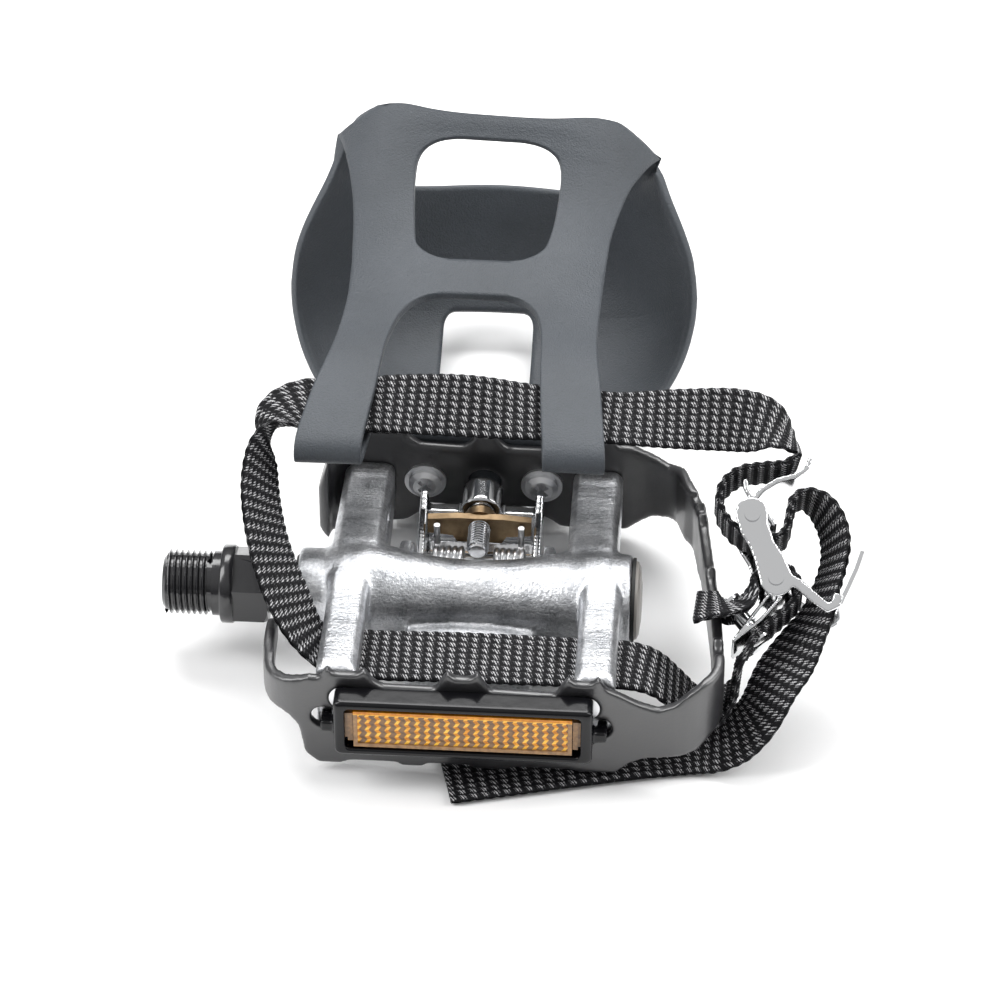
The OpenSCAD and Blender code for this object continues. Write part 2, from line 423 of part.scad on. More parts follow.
module clip_nuts() color(steel) for (x = [42, 68.4]) translate([x, cage_y + 0.2 + clip_t, -0.6]) rotate([-90, 0, 0]) difference() {
  union() { cylinder(h = 0.8, r = 5); translate([0, 0, 0.7]) cylinder(h = 3.4, r = 4.6, $fn = 6); }
  translate([0, 0, -1]) cylinder(h = 6, r = 2.52);
}

// the buckle's loop of strap lies in a slanting plane: a point of it from u along X and w up the slope
function pl(u, w) = [u + 0.2, -23.67 + 0.837 * w, 1.9 + 0.547 * w];
up = [0, 0.547, -0.837];
// strap, from its riveted end: round the buckle's lower bar, in under the cage's side, along under the rear arms,
// up the crank side, over the foot through both loops, through the buckle and down to its free end.
// Each station is a point and the direction of the webbing's width.
strap_run = [
  [[104.4, -15.2, 12.7], [0, 0.94, -0.3]], [[108.2, -15, 13.7], [0, 0.9, -0.36]], [[111.8, -14.4, 13.5], [0.1, 0.8, -0.5]],
  [[114.2, -12.2, 12.2], [0, 0.36, -0.88]], [pl(115.8, 17.4), up], [pl(116.9, 20.2), up], [pl(118.6, 22.6), up], [pl(121.4, 23.3), up], [pl(124.2, 22), up],
  [pl(126.2, 18.8), up], [pl(125.4, 15.4), up], [pl(121.8, 11.6), up], [pl(117.6, 7.6), up], [pl(114.4, 2.6), [0, 0.7, -0.7]],
  [[113.2, -23.6, -3.9], [0, 0.9, -0.4]], [[109.8, -24.4, -7.8], [0, 1, -0.1]], [[105.4, -24.6, -8.4], [0, 1, 0]],
  [[101.4, -24.4, -4], [0, 1, 0]], [[96.6, -24.2, 1], [0, 1, 0]], [[90, -23.6, 2.7], [0, 1, 0.04]], [[78, -23.4, 2.7], [0, 1, 0.06]],
  [[56, -23.4, 2.8], [0, 1, 0.08]], [[30, -23.4, 2.7], [0, 1, 0.04]], [[21.4, -21.6, 5.4], [0.3, 0.9, -0.3]],
  [[15.6, -14.4, 11.6], [0.6, 0.7, -0.45]], [[10.6, -3.6, 18.6], [0.55, 0.6, -0.6]], [[8.4, 8, 25], [0.4, 0.8, -0.5]],
  [[10, 18.6, 30], [0.1, 1, 0]], [[16, 24, 31.8], [0, 0.97, 0.2]], [[26, 24.6, 32], [0, 0.97, 0.2]],
  [[36, 24.6, 33], [0, 0.92, 0.36]], [[52, 23, 34.6], [0, 0.86, 0.5]], [[66, 24, 32.8], [0, 0.94, 0.3]],
  [[76, 24.6, 32], [0, 0.97, 0.2]], [[86, 24.2, 31.8], [0, 0.97, 0.2]], [[100, 23.4, 33], [0, 0.88, 0.42]],
  [[112, 22, 34.4], [0, 0.8, 0.5]], [[120.6, 20.4, 33.6], [0, 0.8, 0]], [pl(125, 49.8), [0, 0.7, -0.6]],
  [pl(122.6, 45.8), up], [pl(117.6, 45), up], [pl(112.4, 43.8), up], [pl(108.9, 40.4), up], [pl(108.5, 36), up],
  [pl(111, 31.8), up], [pl(115, 29.2), up], [pl(119.4, 28.6), up], [pl(122.8, 30.6), up], [pl(123.6, 34.4), up],
  [pl(124.4, 38), up], [pl(126.8, 39.4), [-0.1, 0.52, -0.84]], [pl(130.4, 37.6), [-0.25, 0.45, -0.83]],
  [pl(133, 33.6), [-0.32, 0.45, -0.8]], [pl(134, 28.6), [-0.36, 0.47, -0.78]], [pl(133.4, 23.8), [-0.38, 0.5, -0.76]],
  [pl(131.9, 18.6), [-0.42, 0.55, -0.72]], [pl(130.4, 13.8), [-0.5, 0.6, -0.62]], [pl(127.7, 8.6), [-0.6, 0.68, -0.42]],
  [pl(125, 3.4), [-0.64, 0.75, -0.2]], [pl(122, -1.8), [-0.55, 0.83, -0.1]], [[118.4, -30, -5.2], [-0.42, 0.9, 0]],
  [[112.8, -30.8, -11.6], [-0.36, 0.93, 0]], [[104, -30.6, -15.2], [-0.3, 1, 0]], [[88, -33.8, -15.2], [-0.25, 1, 0]],
  [[70, -38.4, -15.2], [-0.25, 1, 0]], [[52, -43, -15.2], [-0.25, 1, 0]]];
// place and turn of the two rivets that close the strap's end on itself
module rivet_spots() for (v = [-3.4, 3.4]) translate(pl(115.1, 11) + up * v) rotate([33.17, 0, 0]) rotate([90, 0, 41]) children();
module strap() color([0.07, 0.07, 0.075]) band(flow(strap_run, 3), strap_w, strap_t);
module strap_rivets() color(chrome) rivet_spots() {
  cylinder(h = 10.4, r = 1.4, center = true);
  for (t = [-1, 1]) translate([0, 0, 5.3 * t]) cylinder(h = 0.7, r = 2.4, center = true);
}

// buckle frame axes: x and y in the plane of its side plates, z along the pins
module buckle_pose() translate([118.2, -1.4, 15.9]) rotate([33.166, 0, 0]) rotate([0, 0, 22]) children();
// same axes, but with x level and y straight up the slope, from the frame's centre
module on_slope() rotate([0, 0, -22]) translate([-118, -26.3]) children();
bk_w = strap_w + 1.2;
pin_hi = [0.4, 7.4];
pin_lo = [0.4, -7.6];
module buckle_frame() color(chrome) difference() {
  buckle_pose() {
    for (s = [-1, 1]) translate([0, 0, s * (bk_w / 2 + 0.6) - 0.6]) linear_extrude(1.2) difference() {
      union() {
        polygon(concat(arc(pin_hi[0], 7.6, 3.6, 0, 180, 10), [[-3.3, 4.4], [-2.6, 1], [-2.6, -2]], arc(pin_lo[0], -8, 3.7, 160, 350, 10),
          [[3.6, -3], [2.8, 0], [3, 4.6]]));
        // arm that carries the keeper, with its curled end
        on_slope() polygon(strip([[122, 20.4], [125.9, 18.4], [130.1, 14.9], [132.6, 13.2], [134.2, 14.2], [134.8, 16.4]], 2.2));
      }
      translate(pin_hi) circle(r = 1.02);
      translate(pin_lo) circle(r = 1.02);
    }
    // lower web
    translate([2, -2.2, -bk_w / 2 - 0.7]) cube([1, 2, bk_w + 1.4]);
    // folded plate between the strap's two riveted layers
    translate([0, 0, -bk_w / 2 - 0.3]) linear_extrude(bk_w + 0.6) on_slope() {
      polygon(strip([[120.4, 16.6], [116.4, 11], [112.5, 5.2]], 0.7));
      polygon(strip([[112.5, 5.2], [118.4, 10.4], [123.4, 16.6]], 0.7));
    }
  }
  rivet_spots() cylinder(h = 8, r = 1.45, center = true);
}
module buckle_pins() color(chrome) buckle_pose() for (p = [pin_hi, pin_lo]) translate([p[0], p[1], 0]) {
  cylinder(h = bk_w + 3.4, r = 1, center = true);
  for (s = [-1, 1]) translate([0, 0, s * (bk_w / 2 + 1.6)]) cylinder(h = 0.7, r = 1.7, center = true);
}
module buckle_lever() color(chrome) buckle_pose() difference() {
  union() {
    translate([pin_hi[0], pin_hi[1], -bk_w / 2 + 0.4]) cylinder(h = bk_w - 0.8, r = 2.4);
    // tongue inside the roll, its nose over the strap, and the thumb plate between the strap's two runs
    translate([0, 0, -bk_w / 2 + 0.4]) linear_extrude(bk_w - 0.8) on_slope() {
      polygon(strip([[113.8, 41.6], [114.1, 39.4], [115.4, 37.2], [117.4, 35], [119.4, 33], [120.6, 31.4]], 1.1));
      polygon(strip([[115.6, 36.6], [117.6, 39.4], [120.8, 41.6], [124.4, 42.6], [127, 44.4], [127.8, 47]], 1.1));
    }
  }
  translate([pin_hi[0], pin_hi[1], 0]) cylinder(h = bk_w + 2, r = 1.04, center = true);
}
module buckle_roller() color(chrome) buckle_pose() translate([pin_lo[0], pin_lo[1], 0]) difference() {
  cylinder(h = bk_w - 0.8, r = 2.3, center = true);
  cylinder(h = bk_w + 2, r = 1.04, center = true);
}
// thin plate outside the free run of the strap, held between the frame's two arms
module buckle_keeper() color(chrome) buckle_pose() translate([0, 0, -bk_w / 2 + 0.1]) linear_extrude(bk_w - 0.2) on_slope()
  polygon(strip([[135.2, 14.6], [136.8, 18.4], [138.4, 22.4], [139.6, 26.4]], 0.9));

// cleat binding
module fixed_claw() color(steel) difference() {
  union() {
    xslab(bind_x - 11, bind_x + 11) polygon([[-20.6, -9.45], [-20.6, -10.9], [-9, -10.9], [-9, -9.45]]);
    xslab(bind_x - 9, bind_x + 9)
      polygon([[-23, -9.45], [-23, -12.8], [-22, -14.2], [-16.6, -14.2], [-16.6, -13], [-20.6, -12.4], [-20.6, -9.45]]);
  }
  for (s = [-1, 1]) translate([bind_x + s * 7, -14.5, -11.6]) cylinder(h = 4, r = 2.1);
  // throat between the two horns of the claw
  translate([bind_x, -13.4, -16]) cylinder(h = 4.8, r = 5);
}
module claw_screws() color(steel) for (s = [-1, 1]) translate([bind_x + s * 7, -14.5, 0]) difference() {
  union() {
    translate([0, 0, -11.5]) cylinder(h = 6.6, r = 1.98);
    translate([0, 0, -12.4]) cylinder(h = 1.45, r = 3.2);
  }
  translate([0, 0, -13]) cylinder(h = 2, r = 1.5, $fn = 6);
}
module rest_plate() color(steel) difference() {
  translate([bind_x - 12.5, -8.4, -10.9]) cube([25, 17.6, 1.45]);
  translate([bind_x, 0.4, -12]) cylinder(h = 4, r = 3);
}
// jaw: two cheeks on the pin, a front web, the boss for the screw, and the hooked lip
module rear_jaw() color(chrome) difference() {
  union() {
    for (s = [-1, 1]) xslab(bind_x + s * 13 - 0.9, bind_x + s * 13 + 0.9)
      polygon(concat(arc(pin_y, pin_z, 3.6, 120, 250, 8), [[22, -12.2], [26, -14.2], [30.4, -13.4], [31.6, -9], [31.6, 0], [30, 3.4], [25, 2]]));
    xslab(bind_x - 13.6, bind_x + 13.6)
      polygon([[28.6, -1.6], [31.6, -1.6], [31.6, -11], [30.4, -13.4], [28, -14.2], [21.8, -14.2], [21.6, -13],
        [26.6, -12.2], [28.6, -10]]);
    ycyl(25.4, 33, 4.6, bind_x, screw_z);
    xslab(bind_x - 4.6, bind_x + 4.6) polygon([[25.4, screw_z], [33, screw_z], [33, -3], [31.6, -5], [28.6, -5], [25.4, -2]]);
  }
  xcyl(bind_x - 15, bind_x + 15, pin_d / 2 + 0.04, pin_y, pin_z);
  ycyl(20, 36, screw_d / 2 + 0.08, bind_x, screw_z);
  ycyl(31, 36, 3.6, bind_x, screw_z);
  // throat of the claw, where the cleat's tail sits
  translate([bind_x, 19.6, -16]) cylinder(h = 4.6, r = 5);
}
module jaw_pin() color(steel) xcyl(bind_x - 17.8, bind_x + 17.8, pin_d / 2, pin_y, pin_z);
// one torsion spring: coil about the pin, a leg up behind the nut, a leg to the body
module coil(x0, n) {
  for (i = [0:n - 1]) translate([x0 + i * 1.42, pin_y, pin_z]) rotate([0, 90, 0])
    rotate_extrude($fn = 32) translate([2.75, 0]) circle(r = 0.72, $fn = 16);
}
module jaw_springs() color(steel) for (s = [-1, 1]) {
  coil(s < 0 ? bind_x - 9.6 : bind_x + 4, 5);
  x = bind_x + s * 9.4;
  translate([x, pin_y + 2.1, pin_z]) cylinder(h = 8.8, r = 0.7, $fn = 24);
  xa = bind_x + s * 4.2;
  translate([xa, pin_y - 2.3, pin_z]) rotate([150, 0, 0]) cylinder(h = 4, r = 0.7, $fn = 24);
}
module tension_screw() color(chrome) difference() {
  union() {
    ycyl(12.6, 31.1, screw_d / 2, bind_x, screw_z);
    ycyl(31.05, 33.6, 3.4, bind_x, screw_z);
  }
  ycyl(31.6, 35, 1.75, bind_x, screw_z, 6);
}
module tension_nut() color([0.5, 0.39, 0.27]) difference() {
  union() {
    yslab(20.3, 22.1) polygon([[bind_x - 11.6, 3.4], [bind_x - 5, 4], [bind_x + 5, 4], [bind_x + 11.6, 3.4], [bind_x + 11.6, -0.6],
      [bind_x + 6, -1.2], [bind_x + 5, -3], [bind_x - 5, -3], [bind_x - 6, -1.2], [bind_x - 11.6, -0.6]]);
    ycyl(22, 24.2, 3.6, bind_x, screw_z);
  }
  ycyl(19, 25, screw_d / 2 + 0.03, bind_x, screw_z);
}

axle();
inner_seal();
inner_cup();
inner_balls();
outer_cup();
outer_balls();
outer_cone();
axle_washer();
lock_nut();
cap_ring();
dust_cap();
body();
cage();
cage_screws();
reflector_housing();
reflector_lens();
toe_clip();
clip_screws();
clip_nuts();
strap();
strap_rivets();
buckle_frame();
buckle_lever();
buckle_pins();
buckle_roller();
buckle_keeper();
fixed_claw();
claw_screws();
rest_plate();
rear_jaw();
jaw_pin();
jaw_springs();
tension_screw();
tension_nut();
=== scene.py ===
import math

import bmesh
import bpy
from mathutils import Matrix, Vector


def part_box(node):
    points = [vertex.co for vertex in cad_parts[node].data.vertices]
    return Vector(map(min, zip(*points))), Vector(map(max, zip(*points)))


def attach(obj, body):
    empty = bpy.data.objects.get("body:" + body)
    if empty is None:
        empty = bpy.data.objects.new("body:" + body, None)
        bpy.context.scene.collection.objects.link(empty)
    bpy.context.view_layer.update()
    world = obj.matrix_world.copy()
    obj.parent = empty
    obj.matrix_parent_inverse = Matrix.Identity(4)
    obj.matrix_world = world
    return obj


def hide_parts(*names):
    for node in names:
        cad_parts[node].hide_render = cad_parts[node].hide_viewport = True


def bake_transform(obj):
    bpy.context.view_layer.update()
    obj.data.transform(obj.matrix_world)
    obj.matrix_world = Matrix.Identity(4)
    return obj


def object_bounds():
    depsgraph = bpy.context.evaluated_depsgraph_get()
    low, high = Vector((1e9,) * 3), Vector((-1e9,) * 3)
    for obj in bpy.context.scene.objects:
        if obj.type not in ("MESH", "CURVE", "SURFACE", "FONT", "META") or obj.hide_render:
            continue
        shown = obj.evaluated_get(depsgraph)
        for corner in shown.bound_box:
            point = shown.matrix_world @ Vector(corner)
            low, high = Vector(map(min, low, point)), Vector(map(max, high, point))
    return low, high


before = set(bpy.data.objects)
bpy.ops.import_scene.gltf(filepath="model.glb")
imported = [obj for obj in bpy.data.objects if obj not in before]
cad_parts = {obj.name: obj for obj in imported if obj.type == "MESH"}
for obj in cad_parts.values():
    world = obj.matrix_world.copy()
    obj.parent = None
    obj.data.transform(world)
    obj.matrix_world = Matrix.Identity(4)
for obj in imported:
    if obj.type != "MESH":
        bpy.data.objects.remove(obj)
cad_box = [list(map(float, corner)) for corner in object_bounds()]

# The camera stands behind the rider's heel, a little to the cap side, and looks down at the
# pedal with a long lens.
mm = 0.001
film_width, long_lens = 36, 4.58
turn, tip = math.radians(3.55), math.radians(41.5)
to_right = Vector((math.cos(turn), math.sin(turn), 0))
ahead = Vector((-math.sin(turn) * math.cos(tip), math.cos(turn) * math.cos(tip), -math.sin(tip)))
upward = to_right.cross(ahead)
lens_data = bpy.data.cameras.new("camera")
lens_data.sensor_width = film_width
lens_data.lens = long_lens * film_width
lens_data.clip_start = 0.05
camera = bpy.data.objects.new("camera", lens_data)
bpy.context.scene.collection.objects.link(camera)
eye = Matrix((to_right, upward, -ahead)).transposed().to_4x4()
eye.translation = Vector((107.16, -739.85, 683.69)) * mm
camera.matrix_world = eye
bpy.context.scene.camera = camera


# Strap: one length of coarse black nylon webbing. Its riveted end holds the buckle; from there it
# runs in under the cage's side and the rear arms, over the foot and back through the buckle.
class Value:
    """A shader socket that Python's arithmetic works on."""

    def __init__(self, finish, socket):
        self.finish, self.socket = finish, socket

    def math(self, operation, *others):
        return self.finish.node("Math", {"operation": operation}, *((self,) + others))

    def __add__(self, other):
        return self.math("ADD", other)

    def __sub__(self, other):
        return self.math("SUBTRACT", other)

    def __rsub__(self, other):
        return self.finish.node("Math", {"operation": "SUBTRACT"}, other, self)

    def __mul__(self, other):
        return self.math("MULTIPLY", other)

    def __truediv__(self, other):
        return self.math("DIVIDE", other)

    def __pow__(self, other):
        return self.math("POWER", other)

    __radd__, __rmul__ = __add__, __mul__


class Finish:
    """One surface finish: a Principled shader and the pattern nodes that feed it."""

    def __init__(self, name, colour, rough, **fixed):
        self.material = bpy.data.materials.new(name)
        self.material.use_nodes = True
        self.tree = self.material.node_tree
        self.skin = next(n for n in self.tree.nodes if n.type == "BSDF_PRINCIPLED")
        self.skin.inputs["Base Color"].default_value = (*colour, 1)
        self.skin.inputs["Roughness"].default_value = rough
        for socket, value in fixed.items():
            self.skin.inputs[socket.replace("_", " ")].default_value = value
        self.material.diffuse_color = (*colour, 1)

    def node(self, kind, settings, *values, out=0, **named):
        made = self.tree.nodes.new("ShaderNode" + kind)
        for key, value in settings.items():
            if key == "stops":
                while len(made.color_ramp.elements) < len(value):
                    made.color_ramp.elements.new(0.5)
                for stop, (place, shade) in zip(made.color_ramp.elements, value):
                    stop.position = place
                    stop.color = (*shade, 1) if isinstance(shade, tuple) else (shade, shade, shade, 1)
            else:
                setattr(made, key, value)
        by_name = [(key.replace("_", " "), value) for key, value in named.items()]
        for key, value in list(enumerate(values)) + by_name:
            if isinstance(value, Value):
                self.tree.links.new(value.socket, made.inputs[key])
            else:
                made.inputs[key].default_value = value
        return Value(self, made.outputs[out])

    def place(self):
        return self.node("TexCoord", {}, out="Object")

    def along(self, axis, vector=None):
        return self.node("SeparateXYZ", {}, vector or self.place(), out=axis)

    def noise(self, scale, detail=3.0, rough=0.5, stretch=None):
        spot = self.place()
        if stretch:
            spot = self.node("Mapping", {}, Vector=spot, Scale=stretch)
        return self.node("TexNoise", {}, Vector=spot, Scale=scale, Detail=detail, Roughness=rough)

    def ramp(self, value, *stops):
        return self.node("ValToRGB", {"stops": stops}, value)

    def mix(self, part, first, second):
        blend = self.node("Mix", {"data_type": "RGBA"}, part, out=2)
        for slot, colour in ((6, first), (7, second)):
            socket = blend.socket.node.inputs[slot]
            if isinstance(colour, Value):
                self.tree.links.new(colour.socket, socket)
            else:
                socket.default_value = (*colour, 1)
        return blend

    def feed(self, socket, value):
        self.tree.links.new(value.socket, self.skin.inputs[socket])

    def relief(self, height, depth, strength=1.0):
        bump = self.node("Bump", {}, Height=height, Distance=depth, Strength=strength, out="Normal")
        self.feed("Normal", bump)


def slope(u, w):
    """A point of the slanting plane that the buckle's side plates lie in."""
    return (u + 0.2, -23.67 + 0.837 * w, 1.9 + 0.547 * w)


# each station is a point of the strap's middle line and the way that its width lies there
up_slope = (0, 0.547, -0.837)
stations = [
    ((104.4, -15.2, 12.7), (0, 0.94, -0.3)), ((108.2, -15, 13.7), (0, 0.9, -0.36)),
    ((111.8, -14.4, 13.5), (0.1, 0.8, -0.5)), ((114.2, -12.2, 12.2), (0, 0.36, -0.88)),
    (slope(115.8, 17.4), up_slope), (slope(116.9, 20.2), up_slope),
    (slope(118.6, 22.6), up_slope), (slope(121.4, 23.3), up_slope),
    (slope(124.2, 22), up_slope), (slope(126.2, 18.8), up_slope), (slope(125.4, 15.4), up_slope),
    (slope(121.8, 11.6), up_slope), (slope(117.6, 7.6), up_slope), (slope(114.4, 2.6), (0, 0.7, -0.7)),
    ((113.2, -23.6, -3.9), (0, 0.9, -0.4)), ((109.8, -24.4, -7.8), (0, 1, -0.1)),
    ((105.4, -24.6, -8.4), (0, 1, 0)), ((101.4, -24.4, -4), (0, 1, 0)), ((96.6, -24.2, 1), (0, 1, 0)),
    ((90, -23.6, 2.7), (0, 1, 0.04)), ((78, -23.4, 2.7), (0, 1, 0.06)),
    ((56, -23.4, 2.8), (0, 1, 0.08)), ((30, -23.4, 2.7), (0, 1, 0.04)),
    ((21.4, -21.6, 5.4), (0.3, 0.9, -0.3)), ((15.6, -14.4, 11.6), (0.6, 0.7, -0.45)),
    ((10.6, -3.6, 18.6), (0.55, 0.6, -0.6)), ((8.4, 8, 25), (0.4, 0.8, -0.5)), ((10, 18.6, 30), (0.1, 1, 0)),
    ((16, 24, 31.8), (0, 0.97, 0.2)), ((26, 24.6, 32), (0, 0.97, 0.2)), ((36, 24.6, 33), (0, 0.92, 0.36)),
    ((52, 23, 34.6), (0, 0.86, 0.5)), ((66, 24, 32.8), (0, 0.94, 0.3)), ((76, 24.6, 32), (0, 0.97, 0.2)),
    ((86, 24.2, 31.8), (0, 0.97, 0.2)), ((100, 23.4, 33), (0, 0.88, 0.42)), ((112, 22, 34.4), (0, 0.8, 0.5)),
    ((120.6, 20.4, 33.6), (0, 0.8, 0)), (slope(125, 49.8), (0, 0.7, -0.6)), (slope(122.6, 45.8), up_slope),
    (slope(117.6, 45), up_slope), (slope(112.4, 43.8), up_slope), (slope(108.9, 40.4), up_slope),
    (slope(108.5, 36), up_slope), (slope(111, 31.8), up_slope), (slope(115, 29.2), up_slope),
    (slope(119.4, 28.6), up_slope), (slope(122.8, 30.6), up_slope), (slope(123.6, 34.4), up_slope),
    (slope(124.4, 38), up_slope), (slope(126.8, 39.4), (-0.1, 0.52, -0.84)),
    (slope(130.4, 37.6), (-0.25, 0.45, -0.83)), (slope(133, 33.6), (-0.32, 0.45, -0.8)),
    (slope(134, 28.6), (-0.36, 0.47, -0.78)), (slope(133.4, 23.8), (-0.38, 0.5, -0.76)),
    (slope(131.9, 18.6), (-0.42, 0.55, -0.72)), (slope(130.4, 13.8), (-0.5, 0.6, -0.62)),
    (slope(127.7, 8.6), (-0.6, 0.68, -0.42)), (slope(125, 3.4), (-0.64, 0.75, -0.2)),
    (slope(122, -1.8), (-0.55, 0.83, -0.1)), ((118.4, -30, -5.2), (-0.42, 0.9, 0)),
    ((112.8, -30.8, -11.6), (-0.36, 0.93, 0)), ((104, -30.6, -15.2), (-0.3, 1, 0)),
    ((88, -33.8, -15.2), (-0.25, 1, 0)), ((70, -38.4, -15.2), (-0.25, 1, 0)),
    ((52, -43, -15.2), (-0.25, 1, 0))]


def curve_between(a, b, c, d, t):
    """A point between b and c, on the smooth curve that runs through all four."""
    a, b, c, d = map(Vector, (a, b, c, d))
    square, cube = 2 * a - 5 * b + 4 * c - d, 3 * b - a - 3 * c + d
    return 0.5 * (2 * b + (c - a) * t + square * t * t + cube * t ** 3)


steps_between = 24
route = []
for i in range(len(stations) - 1):
    four = [stations[min(max(k, 0), len(stations) - 1)] for k in (i - 1, i, i + 1, i + 2)]
    for step in range(steps_between):
        share = step / steps_between
        route.append([curve_between(*(station[half] for station in four), share) for half in (0, 1)])
route.append([Vector(part) for part in stations[-1]])
# walk the route in even steps, so the weave keeps one size
pitch = 0.5
walk, run = [route[0]], 0.0
for here, there in zip(route, route[1:]):
    span = (there[0] - here[0]).length
    while run + span >= pitch:
        share = (pitch - run) / span
        here = [h.lerp(t, share) for h, t in zip(here, there)]
        walk.append(here)
        span -= pitch - run
        run = 0.0
    run += span
frames = []
for count, (spot, wide) in enumerate(walk):
    along = (walk[min(count + 1, len(walk) - 1)][0] - walk[max(count - 1, 0)][0]).normalized()
    wide = (wide - along * wide.dot(along)).normalized()
    frames.append((spot, wide, along.cross(wide)))

# a flat grid is wrapped round the route: its far side runs back underneath, so the long edges meet
strap_width, strap_thick = 14.3, 1.7
ribs, beat_length, lean = 9, 2.4, 0.4
edge_wave, hem_start, edge_lanes = 0.22, 0.92, 0.49
lanes = 4 * ribs
strap_mesh = bmesh.new()
bmesh.ops.create_grid(strap_mesh, x_segments=len(frames) - 1, y_segments=2 * lanes, size=0.5)
weave = strap_mesh.loops.layers.uv.new("weave")
lane_of = {vert: (round((vert.co.x + 0.5) * (len(frames) - 1)), round((vert.co.y + 0.5) * 2 * lanes))
           for vert in strap_mesh.verts}
for face in strap_mesh.faces:
    for loop in face.loops:
        count, lane = lane_of[loop.vert]
        loop[weave].uv = (count * pitch, lane * ribs / lanes)
for vert, (count, lane) in lane_of.items():
    spot, wide, thick = frames[count]
    side = 1 if lane <= lanes else -1
    across = lane / lanes - 0.5 if side > 0 else 1.5 - lane / lanes
    rib = lane * ribs / lanes
    inside = rib - math.floor(rib)
    yarn = math.sin(math.pi * inside) ** 0.7 if 0 < inside < 1 else 0.0
    beat = (0.5 - 0.5 * math.cos(2 * math.pi * (count * pitch / beat_length + lean * inside))) ** 0.7
    hem = 1 - 0.55 * max(0.0, abs(across) * 2 - hem_start) / (1 - hem_start)
    half = strap_thick * (0.28 + 0.24 * yarn * beat + 0.04 * yarn) * hem
    wave = edge_wave * math.sin(2 * math.pi * count * pitch / beat_length) * (abs(across) > edge_lanes)
    vert.co = (spot + wide * across * (strap_width + wave) + thick * half * side) * mm
bmesh.ops.remove_doubles(strap_mesh, verts=strap_mesh.verts, dist=1e-7)
bmesh.ops.holes_fill(strap_mesh, edges=[e for e in strap_mesh.edges if e.is_boundary], sides=0)
bmesh.ops.recalc_face_normals(strap_mesh, faces=strap_mesh.faces)


def piece(name, mesh, finish, smooth=True):
    """A new object, made of the given mesh in one finish."""
    data = bpy.data.meshes.new(name)
    mesh.to_mesh(data)
    mesh.free()
    data.materials.append(finish.material)
    if smooth:
        data.shade_smooth()
    made = bpy.data.objects.new(name, data)
    bpy.context.scene.collection.objects.link(made)
    return made


webbing = Finish("black_webbing", (0.012, 0.012, 0.014), 0.6, Specular_IOR_Level=0.16)
thread_place = webbing.node("UVMap", {"uv_map": "weave"})
strand, rib_count = webbing.along(0, thread_place), webbing.along(1, thread_place)
in_rib = rib_count.math("FRACT")
in_beat = (strand / beat_length + lean * in_rib).math("FRACT")
valley = (in_beat - 0.5).math("ABSOLUTE") * 2
round_yarn = 1 - ((in_rib - 0.5).math("ABSOLUTE") * 2) ** 2
stroke_place = webbing.node("CombineXYZ", {}, strand * 2.6 + in_rib * 1.5,
                            rib_count * 4.5 - strand * 0.6, 0.0)
stroke = webbing.node("TexNoise", {}, Scale=1.0, Detail=3.0, Roughness=0.6, Vector=stroke_place)
fuzz = webbing.noise(2200, 3, 0.7)
filaments = (strand * 11 + in_rib * 9 + stroke * 5).math("SINE") * 0.5 + 0.5
# painted sheen and glints: yarn crowns and the edges of each beat are painted lighter, and streaks along the
# yarn are painted in as glints
painted_sheen = (0.25 + 0.75 * valley) * (0.45 + 0.55 * round_yarn) * (0.3 + 0.7 * filaments)
painted_glint = painted_sheen * (stroke * 2.2 - 0.25) + (fuzz - 0.5) * 0.25
# the base colour ramp turns the painted glints into light grey streaks on the black yarn
webbing.feed("Base Color", webbing.ramp(
    painted_glint, (0.20, (0.003, 0.003, 0.004)), (0.34, (0.012, 0.012, 0.014)),
    (0.46, (0.12, 0.12, 0.125)), (0.64, (0.50, 0.50, 0.51))))
webbing.feed("Roughness", 0.45 + 0.3 * fuzz)
webbing.relief(stroke * 0.6 + fuzz * 0.4, 0.00022, 0.7)
strap = piece("strap_webbing", strap_mesh, webbing)
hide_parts("strap")
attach(strap, "pedal")

# Floor and lights: a seamless white table under large soft boxes, in a room that is dark towards
# the camera, so that bright metal has something dark to reflect.
table_half = 6
table = bmesh.new()
bmesh.ops.create_grid(table, x_segments=1, y_segments=1, size=table_half)
bmesh.ops.translate(table, verts=table.verts, vec=(0, 0, cad_box[0][2]))
paper = Finish("white_paper", (0.94, 0.94, 0.94), 0.7)
floor = piece("floor", table, paper, smooth=False)
bpy.context.scene.view_settings.view_transform = "Standard"
world = bpy.data.worlds.new("room")
bpy.context.scene.world = world
world.use_nodes = True
sky = world.node_tree.nodes
way = sky.new("ShaderNodeTexCoord")
parts = sky.new("ShaderNodeSeparateXYZ")
heights = sky.new("ShaderNodeValToRGB")
room_stops = heights.color_ramp.elements
for stop, (height, shade) in zip([room_stops[0], room_stops[1], room_stops.new(0.25), room_stops.new(0.62)],
                                 [(0.0, 0.35), (1.0, 1.0), (0.12, 0.12), (0.62, 0.9)]):
    stop.position = height
    stop.color = (shade, shade, shade, 1)
world.node_tree.links.new(way.outputs["Generated"], parts.inputs[0])
world.node_tree.links.new(parts.outputs[2], heights.inputs[0])
world.node_tree.links.new(heights.outputs[0], sky["Background"].inputs[0])
sky["Background"].inputs[1].default_value = 0.7


def soft_box(name, spot, aim, size, watts):
    lamp = bpy.data.lights.new(name, "AREA")
    lamp.shape = "RECTANGLE"
    lamp.size, lamp.size_y = size
    lamp.energy = watts
    holder = bpy.data.objects.new(name, lamp)
    holder.location = spot
    holder.rotation_euler = (Vector(aim) - Vector(spot)).to_track_quat("-Z", "Y").to_euler()
    bpy.context.scene.collection.objects.link(holder)


middle = (0.055, 0.03, 0.0)
soft_box("left_box", (-0.9, -0.2, 0.9), middle, (0.6, 1.0), 13)
soft_box("right_box", (1.0, 0.05, 0.8), middle, (0.6, 1.0), 10)
soft_box("top_box", (0.05, 0.7, 1.1), middle, (1.2, 0.5), 15)


